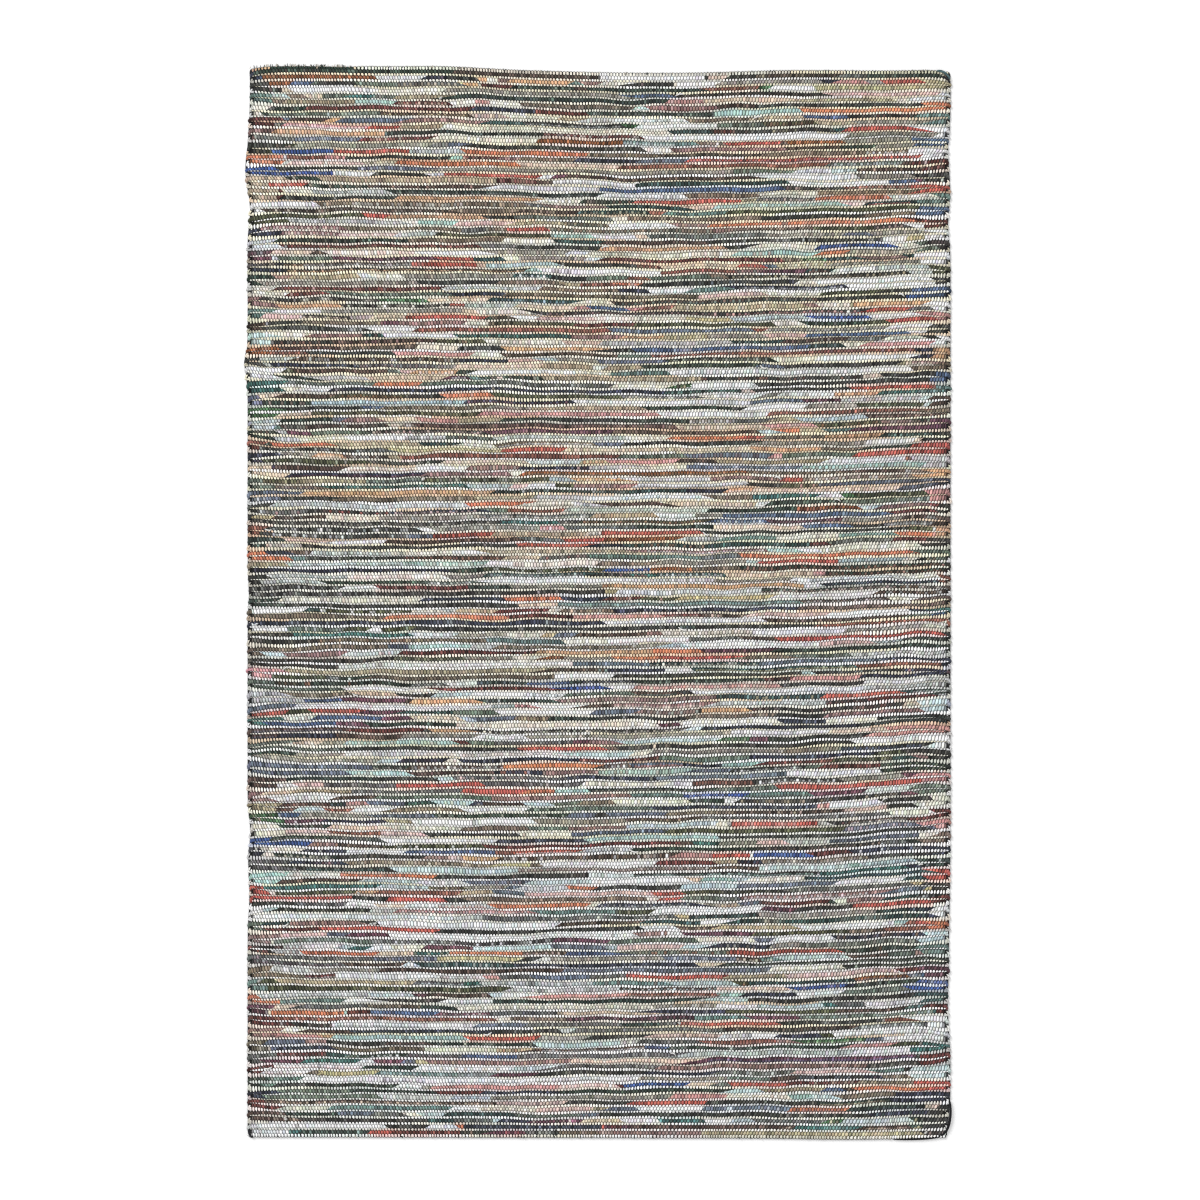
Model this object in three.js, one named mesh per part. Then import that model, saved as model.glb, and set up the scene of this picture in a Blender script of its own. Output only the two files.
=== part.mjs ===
// A flatwoven rug of hemp yarn and rag strips, lying flat: one woven cloth with its own selvedges and turned-in ends.
// The picks run across the width (X), the warp runs along the length (Y), and Z is up from the floor.
// Sizes are in millimetres.
import * as THREE from "three";

// Driving dimensions.
const WIDTH = 1200;
const LENGTH = 1825;
const RIBS = 178; // one rib is a thick rag pick and the thinner hemp pick beside it
const CREST = 8; // height of the rag picks
const FURROW = 6.5; // height of the hemp picks between them
const SELVEDGE_DROP = 1.6; // how much lower a rib is where it meets the selvedge
const SIDE_HEIGHT = 3.4; // height at which the selvedge reaches furthest out
const SIDE_ROUND = 2.2; // how far the rounded side draws in above and below that height
const TURN_REACH = 2; // how far a turning yarn stands out of the selvedge, and the gap beside it sinks in
const HEM = 4.5; // length of the rounded edge at each end
const HEM_LOW = 2.1; // lowest and highest point of that edge's outer face
const HEM_HIGH = 4.7;
const CORNER = 13; // radius of the four corners
const SPANS = 8; // straight stretches in one rib, from selvedge to selvedge

const RAG_AND_HEMP = { colour: 0xa99f90, roughness: 0.95, metalness: 0 };

// The beaten-in rows don't run straight. Each swell lifts (or, below zero, sinks) the rows round one place.
// x and y are the middle of the swell, across and along are how far it spreads, and rise is its height along Y.
const ROW_SWELLS = [
  { x: 240, y: 905, across: 290, along: 150, rise: -13 },
  { x: -460, y: 915, across: 110, along: 40, rise: 3 },
  { x: 590, y: 466, across: 110, along: 260, rise: 6.5 },
  { x: 70, y: 600, across: 110, along: 230, rise: -4 },
  { x: -390, y: 142, across: 130, along: 90, rise: -4.5 },
  { x: 343, y: -200, across: 190, along: 170, rise: 6 },
  { x: 590, y: -370, across: 110, along: 330, rise: 16 },
  { x: -170, y: -507, across: 150, along: 120, rise: -4 },
  { x: -170, y: -800, across: 150, along: 60, rise: -4.5 },
  { x: 445, y: -916, across: 220, along: 50, rise: -7 },
];

// Places where a selvedge was pulled in or pushed out, by how far it lies from the far end of the rug.
const SELVEDGE_SWELLS = [
  { side: "left", down: 40, along: 55, out: -4 },
  { side: "left", down: 175, along: 28, out: 4 },
  { side: "left", down: 242, along: 20, out: -6 },
  { side: "left", down: 508, along: 18, out: 6 },
  { side: "left", down: 897, along: 22, out: -4 },
  { side: "left", down: 1305, along: 24, out: -6 },
  { side: "left", down: 1410, along: 30, out: -3 },
  { side: "right", down: 145, along: 30, out: -4 },
  { side: "right", down: 273, along: 26, out: -4 },
  { side: "right", down: 1500, along: 60, out: -2.5 },
  { side: "right", down: 1612, along: 38, out: -4 },
  { side: "right", down: 1825, along: 30, out: -6 },
];

// The height of a smooth hill, 1 in its middle, at a distance given in its own spreads.
function hill(distance) {
  return Math.exp(-distance * distance);
}

// How far the rows near a place are beaten up or down from straight.
function rowRise(x, y) {
  let rise = 0;
  for (const s of ROW_SWELLS) {
    rise += s.rise * hill(Math.hypot((x - s.x) / s.across, (y - s.y) / s.along) / Math.SQRT2);
  }
  return rise;
}

// How far a selvedge lies from the rug's centre line at a station along the rug.
function selvedge(side, y, turn) {
  const down = LENGTH / 2 - y;
  let reach = WIDTH / 2 - TURN_REACH + TURN_REACH * turn;
  for (const s of SELVEDGE_SWELLS.filter((swell) => swell.side === side)) {
    reach += s.out * hill((down - s.down) / s.along / Math.SQRT2);
  }
  const toCorner = Math.max(0, CORNER - Math.min(down, LENGTH - down));
  return reach - (CORNER - Math.sqrt(CORNER * CORNER - toCorner * toCorner));
}

// The stations along the rug: an outer and an inner line for each end's edge, and a furrow and a crest for each rib.
function stations() {
  const list = [];
  const half = LENGTH / 2;
  const pitch = (LENGTH - 2 * HEM) / RIBS;
  list.push({ y: half, low: HEM_LOW, high: HEM_HIGH, rib: 0 });
  for (let rib = 0; rib < RIBS; rib++) {
    const start = half - HEM - rib * pitch;
    list.push({ y: start, low: 0, high: FURROW, rib });
    list.push({ y: start - pitch / 2, low: 0, high: CREST, rib: rib + 0.5 });
  }
  list.push({ y: HEM - half, low: 0, high: FURROW, rib: RIBS });
  list.push({ y: -half, low: HEM_LOW, high: HEM_HIGH, rib: RIBS });
  return list;
}

// One ring round the cloth at a station: up the left side, across the top, and down the right side.
// A shuttle turns at the left after every even rib and at the right after every odd one.
function ring({ y, low, high, rib }) {
  const turn = Math.cos(Math.PI * (rib - 1));
  const left = -selvedge("left", y, turn);
  const right = selvedge("right", y, -turn);
  const side = Math.min(Math.max(SIDE_HEIGHT, low), high);
  const points = [];
  const put = (x, z) => points.push(new THREE.Vector3(x, y + rowRise(x, y), z));
  put(left + SIDE_ROUND, low);
  put(left, side);
  for (let k = 0; k <= SPANS; k++) {
    const x = THREE.MathUtils.lerp(left + SIDE_ROUND, right - SIDE_ROUND, k / SPANS);
    const atEdge = k === 0 || k === SPANS;
    put(x, Math.max(atEdge ? high - SELVEDGE_DROP : high, side + 0.1));
  }
  put(right, side);
  put(right - SIDE_ROUND, low);
  return points;
}

// A closed skin through a row of rings, with a flat cap on the first and the last.
function skin(rings) {
  const size = rings[0].length;
  const position = rings.flat().flatMap((p) => p.toArray());
  const index = [];
  for (let r = 0; r + 1 < rings.length; r++) {
    for (let k = 0; k < size; k++) {
      const here = r * size + k;
      const beside = r * size + ((k + 1) % size);
      index.push(here, here + size, beside, beside, here + size, beside + size);
    }
  }
  const last = (rings.length - 1) * size;
  for (let k = 1; k + 1 < size; k++) {
    index.push(0, k, k + 1);
    index.push(last, last + k + 1, last + k);
  }
  const geometry = new THREE.BufferGeometry();
  geometry.setAttribute("position", new THREE.Float32BufferAttribute(position, 3));
  geometry.setIndex(index);
  return geometry;
}

// The woven cloth, centred over the point of the floor that it lies on.
function rug() {
  const geometry = skin(stations().map(ring));
  geometry.computeBoundingBox();
  const middle = geometry.boundingBox.getCenter(new THREE.Vector3());
  geometry.translate(-middle.x, -middle.y, 0);
  geometry.computeVertexNormals();
  const material = new THREE.MeshStandardMaterial({
    color: RAG_AND_HEMP.colour,
    roughness: RAG_AND_HEMP.roughness,
    metalness: RAG_AND_HEMP.metalness,
  });
  const mesh = new THREE.Mesh(geometry, material);
  mesh.name = "rug";
  return mesh;
}

const part = new THREE.Group();
part.add(rug());

export default part;
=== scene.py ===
import bpy
import numpy as np
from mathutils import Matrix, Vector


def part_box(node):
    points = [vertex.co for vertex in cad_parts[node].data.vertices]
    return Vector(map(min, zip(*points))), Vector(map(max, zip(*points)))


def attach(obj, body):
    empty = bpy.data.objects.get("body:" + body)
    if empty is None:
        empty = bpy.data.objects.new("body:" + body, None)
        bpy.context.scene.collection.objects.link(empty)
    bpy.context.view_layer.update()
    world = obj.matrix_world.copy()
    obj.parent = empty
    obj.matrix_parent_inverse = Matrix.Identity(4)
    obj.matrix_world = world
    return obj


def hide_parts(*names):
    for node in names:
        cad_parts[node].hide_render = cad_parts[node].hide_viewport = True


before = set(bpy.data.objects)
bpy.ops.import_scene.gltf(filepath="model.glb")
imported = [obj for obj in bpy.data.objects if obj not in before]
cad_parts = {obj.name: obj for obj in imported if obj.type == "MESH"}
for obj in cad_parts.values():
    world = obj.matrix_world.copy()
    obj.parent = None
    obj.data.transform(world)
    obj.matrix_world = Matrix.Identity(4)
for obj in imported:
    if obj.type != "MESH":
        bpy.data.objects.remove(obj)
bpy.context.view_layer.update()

# The view. The rug lies on a plain pale floor under soft studio light, and is seen from straight above
# through a long lens. The photograph is square, and the rug's width takes up a little over half of it.
PHOTO_SIDE = 1200  # pixels
PIXEL = 1.2 / 703.5  # metres: the rug is 1.2 m or 703.5 pixels wide
PHOTO_RUG_MIDDLE = (597.3, 602.3)
LENS, SENSOR = 100.0, 36.0
FURTHEST_SEEN = 60.0
SKY = 0.525
FLOOR_SIDE = 16.0
FLOOR_GREYS = ((0.93, 0.93, 0.93, 1), (0.95, 0.95, 0.95, 1))


def from_photo(column, row):
    """A place on the floor from a pixel of the photograph: its distance from the rug's middle, in metres."""
    return (column - PHOTO_RUG_MIDDLE[0]) * PIXEL, (PHOTO_RUG_MIDDLE[1] - row) * PIXEL


lens = bpy.data.cameras.new("view")
lens.lens, lens.sensor_width, lens.clip_end = LENS, SENSOR, FURTHEST_SEEN
camera = bpy.data.objects.new("view", lens)
camera.location = (*from_photo(PHOTO_SIDE / 2, PHOTO_SIDE / 2), PHOTO_SIDE * PIXEL * LENS / SENSOR)
bpy.context.scene.collection.objects.link(camera)
bpy.context.scene.camera = camera
bpy.context.scene.view_settings.view_transform = "Standard"
bpy.context.scene.cycles.filter_width = 1.15
bpy.context.scene.cycles.use_denoising = False


def soft_light(name, place, side, power):
    """A large square lamp that faces the rug and doesn't show itself."""
    lamp = bpy.data.lights.new(name, "AREA")
    lamp.shape, lamp.size, lamp.energy = "SQUARE", side, power
    holder = bpy.data.objects.new(name, lamp)
    holder.location = place
    holder.rotation_euler = (-holder.location).to_track_quat("-Z", "Y").to_euler()
    holder.visible_camera = False
    bpy.context.scene.collection.objects.link(holder)


soft_light("window", (-5.2, 5.6, 8.4), 4.8, 720)
soft_light("overhead", (1.6, -1.4, 8.5), 6.0, 230)
world = bpy.data.worlds.new("studio")
world.use_nodes = True
world.node_tree.nodes["Background"].inputs["Color"].default_value = (1.0, 1.0, 1.0, 1.0)
world.node_tree.nodes["Background"].inputs["Strength"].default_value = SKY
bpy.context.scene.world = world


class Value:
    """A number that changes over a surface. Python's operators on it add the Math nodes that work it out."""

    def __init__(self, finish, socket):
        self.finish, self.socket = finish, socket

    def math(self, operation, *others):
        sockets = dict(enumerate((self, *others)))
        return self.finish.add("ShaderNodeMath", {"operation": operation}, sockets)

    def output(self, name):
        return Value(self.finish, self.socket.node.outputs[name])

    def step(self, low, high):
        """0 below low, 1 above high, and a smooth rise between them."""
        sockets = {0: self, 1: low, 2: high, 3: 0.0, 4: 1.0}
        return self.finish.add("ShaderNodeMapRange", {"interpolation_type": "SMOOTHSTEP"}, sockets)

    def __add__(self, other):
        return self.math("ADD", other)

    def __sub__(self, other):
        return self.math("SUBTRACT", other)

    def __rsub__(self, other):
        return self * -1 + other

    def __mul__(self, other):
        return self.math("MULTIPLY", other)

    def __truediv__(self, other):
        return self.math("DIVIDE", other)

    __radd__, __rmul__ = __add__, __mul__


class Finish:
    """A material and its nodes."""

    def __init__(self, name, **constants):
        self.material = bpy.data.materials.new(name)
        self.material.use_nodes = True
        self.tree = self.material.node_tree
        self.surface(**constants)

    def put(self, node, sockets):
        for key, value in sockets.items():
            if isinstance(value, Value):
                self.tree.links.new(value.socket, node.inputs[key])
            else:
                node.inputs[key].default_value = value

    def add(self, kind, settings=None, sockets=None, output=0):
        """A node of this kind: first its settings, then its sockets' values or links. Gives one output."""
        node = self.tree.nodes.new(kind)
        for key, value in (settings or {}).items():
            setattr(node, key, value)
        self.put(node, sockets or {})
        return Value(self, node.outputs[output])

    def blend(self, factor, first, second):
        """The first colour where the factor is 0, and the second where it is 1."""
        return self.add("ShaderNodeMix", {"data_type": "RGBA"}, {0: factor, 6: first, 7: second}, output=2)

    def scaled(self, colour, factor, plus=0.0):
        """A colour times a number, plus a grey."""
        times = self.add("ShaderNodeVectorMath", {"operation": "SCALE"}, {0: colour, 3: factor})
        return self.add("ShaderNodeVectorMath", {"operation": "ADD"}, {0: times, 1: (plus, plus, plus)})

    def surface(self, **values):
        """Sets or links the shader's sockets, and gives the material."""
        shader = self.tree.nodes["Principled BSDF"]
        self.put(shader, {key.replace("_", " "): value for key, value in values.items()})
        return self.material


floor_paint = Finish("pale_floor", Roughness=0.85)
mottle = floor_paint.add("ShaderNodeTexNoise", {}, {"Scale": 3.0, "Detail": 2.0})
floor_colour = floor_paint.blend(mottle, *FLOOR_GREYS)
floor_mesh = bpy.data.meshes.new("floor")
floor_corners = np.array([(-1, -1, 0), (1, -1, 0), (1, 1, 0), (-1, 1, 0)]) * FLOOR_SIDE / 2
floor_mesh.from_pydata(floor_corners.tolist(), [], [(0, 1, 2, 3)])
floor_mesh.materials.append(floor_paint.surface(Base_Color=floor_colour))
floor = bpy.data.objects.new("floor", floor_mesh)
bpy.context.scene.collection.objects.link(floor)

# How the rows lie. The picks are beaten down one after another, a thick rag strip and then a thin hemp yarn,
# over a fine warp. The rows wander, and the selvedges were pulled in or pushed out here and there.
WIDTH, LENGTH = 1.200, 1.825
RIBS = 178  # a rib is a rag pick and the hemp pick beside it
BEADS = 230  # places across the rug where a pick comes up over a warp thread
HEM = 0.0045  # how far the last hemp pick rolls over at each end
RIB_PITCH = (LENGTH - 2 * HEM) / RIBS
CORNER = 0.007  # radius of the four corners
ROW_SWELLS = (  # middle x and y, spread across and along, and how far the rows rise
    (0.240, 0.905, 0.290, 0.150, -0.0130),
    (-0.460, 0.915, 0.110, 0.040, 0.0030),
    (0.590, 0.466, 0.110, 0.260, 0.0065),
    (0.070, 0.600, 0.110, 0.230, -0.0040),
    (-0.390, 0.142, 0.130, 0.090, -0.0045),
    (0.343, -0.200, 0.190, 0.170, 0.0060),
    (0.590, -0.370, 0.110, 0.330, 0.0160),
    (-0.170, -0.507, 0.150, 0.120, -0.0040),
    (-0.170, -0.800, 0.150, 0.060, -0.0045),
    (0.445, -0.916, 0.220, 0.050, -0.0070),
    (0.200, 0.905, 0.160, 0.120, 0.0035),
    (0.340, 0.905, 0.090, 0.090, 0.0045),
    (-0.260, 0.905, 0.060, 0.050, 0.0035),
    (0.300, -0.916, 0.100, 0.050, 0.0030),
    (-0.530, 0.915, 0.055, 0.045, 0.0015),
    (-0.604, 0.905, 0.016, 0.020, -0.0040),
    (0.600, 0.905, 0.016, 0.020, -0.0040),
)
SELVEDGE_SWELLS = (  # left or right, distance from the far end, spread, and how far out
    (-1, 0.040, 0.055, -0.0040),
    (-1, 0.175, 0.028, 0.0040),
    (-1, 0.242, 0.020, -0.0045),
    (-1, 0.508, 0.018, 0.0060),
    (-1, 0.897, 0.022, -0.0020),
    (-1, 1.305, 0.024, -0.0045),
    (-1, 1.410, 0.030, -0.0030),
    (1, 0.145, 0.030, -0.0040),
    (1, 0.273, 0.026, -0.0040),
    (1, 1.500, 0.060, -0.0025),
    (1, 1.612, 0.038, -0.0040),
    (1, 1.825, 0.030, -0.0060),
)


def hill(distance):
    """A smooth hill, 1 in its middle: the exponential of minus half the square of the distance in spreads."""
    return np.exp(-0.5 * distance**2)


def row_rise(x, y):
    """How far the rows near a place are beaten up or down from straight: the sum of the swells there."""
    return sum(
        rise * hill(np.hypot((x - at_x) / across, (y - at_y) / along))
        for at_x, at_y, across, along, rise in ROW_SWELLS
    )


def selvedge(side, y):
    """Where a selvedge lies at a station along the rug: half the width and its swells, less a corner's inset.
    The inset is the radius less the root of its square less the square of how far in the station is."""
    down = LENGTH / 2 - y
    swells = [(at, along, out) for swell_side, at, along, out in SELVEDGE_SWELLS if swell_side == side]
    reach = WIDTH / 2 + sum(out * hill((down - at) / along) for at, along, out in swells)
    into_corner = np.clip(CORNER - np.minimum(down, LENGTH - down), 0, CORNER)
    return side * (reach - (CORNER - np.sqrt(CORNER**2 - into_corner**2)))


def blurred(values, spread, axis):
    """Values smoothed along one axis: each is the hill-weighted mean of its neighbours, the ends repeated."""
    reach = int(np.ceil(3 * spread))
    taps = hill(np.arange(-reach, reach + 1) / spread)
    padding = [(reach, reach) if a == axis % values.ndim else (0, 0) for a in range(values.ndim)]
    padded = np.pad(values, padding, mode="edge")
    count = values.shape[axis]
    return sum(t * np.take(padded, np.arange(k, k + count), axis) for k, t in enumerate(taps / taps.sum()))


def cloud(rng, shape, spread_down, spread_across):
    """Smooth random values about zero that keep together over the two spreads: normal values, smoothed both
    ways and divided by their spread. The repeated ends make some outer values too large: all are held in."""
    rough = blurred(blurred(rng.normal(0, 1, shape), spread_down, 0), spread_across, 1)
    return np.clip(rough / rough.std(), -2.5, 2.5)


# The rag picks. Strips cut from old cloth, in whatever colours came to hand, are laid in end to end, so one
# runs out and the next begins anywhere. Each has its own thickness, and many show a second colour.
DYES = {  # colour out of 255, share of the cloth, usual length in beads, thickness, how pale, how warm
    "white": ((242, 245, 247), 10.5, 24, 1.08, 1.0, -0.3),
    "ivory": ((239, 235, 219), 6, 21, 1.06, 0.9, 0.5),
    "pale_grey": ((205, 208, 206), 5.5, 21, 1.03, 0.6, 0.0),
    "mist_blue": ((196, 214, 216), 2.5, 17, 1.04, 0.7, -0.9),
    "stone": ((160, 156, 146), 6, 26, 1.0, 0.3, 0.3),
    "taupe": ((134, 121, 107), 5, 26, 0.99, 0.0, 0.5),
    "grey": ((117, 119, 117), 6, 26, 0.98, 0.0, -0.3),
    "sage": ((116, 128, 116), 4.5, 24, 0.98, 0.1, 0.3),
    "dusty_rose": ((158, 128, 124), 3, 21, 1.0, 0.2, -0.2),
    "sea_green": ((120, 146, 140), 2.5, 26, 1.0, 0.2, -0.1),
    "slate_mist": ((114, 123, 138), 3, 21, 1.0, 0.1, -1.0),
    "charcoal": ((74, 74, 71), 12, 36, 0.88, -1.0, -0.1),
    "black_green": ((66, 77, 70), 7, 32, 0.88, -0.9, 0.3),
    "olive": ((92, 94, 74), 4.5, 28, 0.92, -0.5, 0.8),
    "navy": ((67, 70, 83), 4.5, 31, 0.88, -0.8, -0.9),
    "deep_teal": ((68, 88, 86), 3.5, 26, 0.9, -0.5, -0.1),
    "umber": ((97, 83, 76), 8, 31, 0.89, -0.6, 0.4),
    "maroon": ((114, 72, 69), 3.0, 24, 0.9, -0.4, 0.1),
    "brick": ((148, 101, 89), 2.1, 21, 0.94, -0.1, 0.2),
    "red": ((194, 104, 94), 1.2, 19, 0.96, 0.0, 0.2),
    "flame": ((216, 136, 106), 0.9, 19, 0.96, 0.0, 0.4),
    "orange": ((220, 176, 140), 1.2, 19, 0.99, 0.1, 0.7),
    "peach": ((226, 206, 186), 2.6, 21, 1.02, 0.4, 0.5),
    "tan": ((186, 172, 146), 3.2, 23, 1.0, 0.2, 0.8),
    "mustard": ((198, 186, 148), 0.7, 17, 1.0, 0.2, 1.0),
    "pink": ((212, 158, 156), 1.6, 17, 1.0, 0.2, 0.0),
    "plum": ((116, 82, 94), 1.6, 19, 0.95, -0.3, -0.4),
    "royal": ((76, 98, 154), 0.2, 15, 0.95, -0.1, -0.8),
    "slate": ((96, 113, 144), 1.6, 21, 0.95, 0.0, -0.7),
    "teal": ((80, 118, 114), 1.4, 19, 0.95, -0.2, -0.1),
    "aqua": ((176, 208, 200), 2.0, 19, 1.02, 0.5, -0.1),
    "blush": ((226, 196, 190), 1.6, 17, 1.02, 0.5, -0.1),
    "rust": ((152, 100, 72), 0.4, 21, 0.95, -0.1, 0.6),
    "leaf": ((84, 118, 86), 0.3, 12, 0.95, -0.1, 0.2),
}
DYE_NAMES = list(DYES)
TONE_SWELLS = (  # middle x and y, spread across and along, how pale and how warm
    (0.0, 0.60, 0.9, 0.48, 0.10, 0.60),
    (0.0, -0.75, 0.9, 0.45, 0.0, -0.95),
    (-0.50, 0.15, 0.20, 0.28, -0.75, 0.3),
    (0.52, -0.65, 0.16, 0.32, -1.1, 0.0),
    (-0.10, 0.15, 0.12, 0.05, 0.8, 0.0),
    (-0.12, -0.10, 0.20, 0.06, 0.6, 0.1),
    (-0.10, -0.60, 0.25, 0.30, 0.3, -0.1),
    (0.50, 0.86, 0.12, 0.06, 0.2, 1.0),
)
# Strips that stand out in the photograph: first and last pixel column and pixel row of each.
STANDOUTS = {
    "white": ((601, 700, 75), (370, 422, 79), (703, 726, 1121), (252, 385, 1126), (257, 286, 1132)),
    "pale_grey": ((927, 948, 1136),),
    "taupe": ((556, 600, 1132),),
    "grey": ((840, 868, 75), (524, 553, 1132)),
    "dusty_rose": ((601, 700, 1133),),
    "sea_green": ((540, 575, 81),),
    "charcoal": ((641, 797, 282), (378, 600, 593), (703, 752, 75), (445, 473, 79), (316, 351, 84),
        (628, 671, 83), (601, 779, 1116), (780, 866, 1118), (859, 945, 1130), (297, 423, 1120),
        (386, 423, 1126), (463, 485, 1132)),
    "black_green": ((250, 352, 70), (354, 450, 73), (870, 941, 75), (295, 366, 1132)),
    "navy": ((251, 600, 625), (605, 662, 673), (423, 441, 79), (823, 839, 80), (499, 529, 1120),
        (463, 601, 1126)),
    "umber": ((450, 593, 74), (753, 839, 75), (633, 779, 1127), (248, 296, 1120)),
    "maroon": ((302, 465, 110), (600, 687, 264), (375, 463, 588), (350, 421, 731), (758, 829, 764),
        (482, 679, 846), (250, 288, 1025), (761, 827, 901), (478, 508, 84), (612, 623, 1127),
        (389, 458, 1132)),
    "brick": ((248, 304, 355), (621, 830, 169), (653, 917, 355), (818, 944, 622), (326, 374, 832),
        (889, 949, 1017)),
    "red": ((344, 409, 153), (444, 538, 178), (255, 301, 188), (362, 385, 219), (506, 546, 227),
        (411, 472, 263), (405, 481, 316), (884, 941, 80), (848, 933, 131), (726, 778, 143),
        (633, 738, 205), (889, 949, 321), (850, 930, 387), (504, 561, 452), (564, 600, 538),
        (248, 282, 715), (309, 355, 715), (522, 600, 748), (855, 949, 453), (600, 699, 531),
        (777, 944, 635), (662, 735, 655), (825, 903, 693), (395, 479, 786), (252, 345, 899),
        (386, 438, 900), (319, 431, 928), (466, 536, 1037), (369, 388, 1132), (777, 920, 785),
        (731, 813, 824), (715, 748, 857), (853, 950, 904), (918, 950, 920), (731, 839, 951),
        (629, 727, 977), (681, 777, 1023), (731, 784, 1083), (631, 700, 1100), (367, 388, 1132)),
    "flame": ((398, 518, 166), (440, 487, 394), (800, 951, 110), (816, 887, 201), (710, 951, 225),
        (270, 327, 443), (467, 521, 507), (248, 286, 560), (504, 558, 599), (382, 502, 617),
        (502, 593, 767), (669, 737, 437), (898, 951, 533), (742, 930, 553), (338, 429, 877),
        (489, 584, 907), (300, 374, 953), (448, 520, 953), (269, 340, 1010), (853, 950, 1090)),
    "orange": ((270, 380, 134), (387, 479, 219), (274, 336, 305), (502, 598, 347), (600, 724, 247),
        (855, 930, 305), (302, 488, 495), (412, 474, 700), (428, 465, 731), (753, 820, 449),
        (600, 802, 585), (701, 747, 711), (459, 473, 84), (509, 567, 84)),
    "peach": ((368, 440, 376), (706, 723, 79)),
    "tan": ((320, 492, 181), (276, 412, 982), (701, 779, 1133), (780, 926, 1136)),
    "mustard": ((813, 944, 89), (489, 526, 865), (436, 517, 960)),
    "pink": ((429, 553, 1088), (840, 866, 80)),
    "plum": ((530, 578, 1120), (488, 523, 1132)),
    "royal": ((270, 332, 151), (249, 330, 172), (820, 894, 244), (905, 949, 296), (811, 866, 319),
        (561, 604, 687), (250, 304, 844), (684, 743, 797), (753, 808, 854), (794, 846, 987),
        (624, 684, 1082)),
    "slate": ((600, 781, 192), (634, 807, 349), (527, 566, 681), (724, 887, 513), (282, 305, 82)),
    "teal": ((504, 554, 519), (254, 374, 887), (822, 906, 868), (662, 702, 1121), (796, 858, 1130),
        (287, 294, 1132)),
    "rust": ((258, 369, 76), (252, 281, 82)),
}
# Strips that turn back at a selvedge in the photograph: their pixel rows.
LEFT_TURNS = {
    "white": (211, 246, 379, 812, 914), "ivory": (108, 295, 550, 833), "mist_blue": (342, 424),
    "taupe": (972, 1044), "grey": (1057,), "sage": (482, 927), "dusty_rose": (308, 942, 1033),
    "sea_green": (99, 319, 990), "slate_mist": (129, 398, 501), "charcoal": (91, 146, 367, 513, 575, 955),
    "black_green": (284, 436, 540, 1083), "olive": (222,), "navy": (234, 272, 460, 854, 1095),
    "umber": (331, 784, 1113), "maroon": (119, 194, 1025, 1070, 1103), "brick": (448, 526), "red": (893,),
    "flame": (157, 560, 1002), "peach": (183, 470), "tan": (201, 800), "plum": (260, 1011),
    "royal": (172, 843), "teal": (390,), "aqua": (878,), "rust": (353,), "leaf": (411, 820),
}
RIGHT_TURNS = {
    "white": (100, 131, 158, 234, 260, 310, 343, 909, 1027), "ivory": (800,), "pale_grey": (462,),
    "mist_blue": (932, 1076), "taupe": (368, 832), "sage": (560, 786), "dusty_rose": (952,),
    "sea_green": (122, 200, 390, 943),
    "charcoal": (175, 247, 284, 334, 440, 503, 545, 885, 1041, 1104, 1126), "black_green": (858, 980),
    "olive": (272,), "navy": (358, 486, 847), "deep_teal": (999,), "umber": (404, 518),
    "maroon": (165, 224, 812, 900, 1011, 1060), "brick": (575,), "red": (188, 451, 872, 1089),
    "flame": (111, 921), "orange": (350, 474, 532), "mustard": (87,), "pink": (321, 495, 821),
    "plum": (427, 967), "royal": (990,), "slate": (143, 213, 298, 380), "teal": (1051,),
}
BY_SELVEDGE = 340  # pixels from the rug's middle to the beads beside a selvedge
PICK_BEADS = BEADS + 1
LENGTH_SHAPE, SHORTEST, LONGEST = 2.2, 4, 110  # the lengths' gamma curve, and its limits in beads
GATHERING, UNLIKE = 1.1, 1.3  # how strongly strips follow the tone swells, and shun what lies before them
LOOK_BACK = 20  # beads of the pick before that a new strip is compared with
TURN_LAP = (4, 14)  # beads that a strip turning at a selvedge runs on for, before the turn and after it
LIGHTNESS_SPREAD, TINT_SPREAD = 0.08, 0.025  # how much the strips of one dye differ
OWN_SHARE = 0.60  # how much a strip's second colour takes from its first
FLECKED, TWISTED, HALVED = 1, 2, 3  # a second colour on odd beads, on every other one, or along one side
KIND_ODDS = (0.44, 0.25, 0.20, 0.11)  # plain, flecked, twisted, halved
BULK_SPREAD = 0.12
dye_colours = (np.array([DYES[d][0] for d in DYE_NAMES]) / 255) ** 2.2
dye_areas, dye_beads, dye_bulks, dye_pale, dye_warm = np.array([DYES[d][1:] for d in DYE_NAMES], float).T


def leaning(x, y):
    """How strongly pale and warm strips gather at a place: the sums of the tone swells there."""
    swells = [
        (hill(np.hypot((x - at_x) / across, (y - at_y) / along)), pale, warm)
        for at_x, at_y, across, along, pale, warm in TONE_SWELLS
    ]
    return sum(pale * near for near, pale, _ in swells), sum(warm * near for near, _, warm in swells)


def in_ribs(line):
    """Values along the strip that goes back and forth, as rows from the left: even ribs run leftwards."""
    rows = line.reshape(RIBS, PICK_BEADS, *line.shape[1:]).copy()
    rows[0::2] = rows[0::2, ::-1]
    return rows


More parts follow.
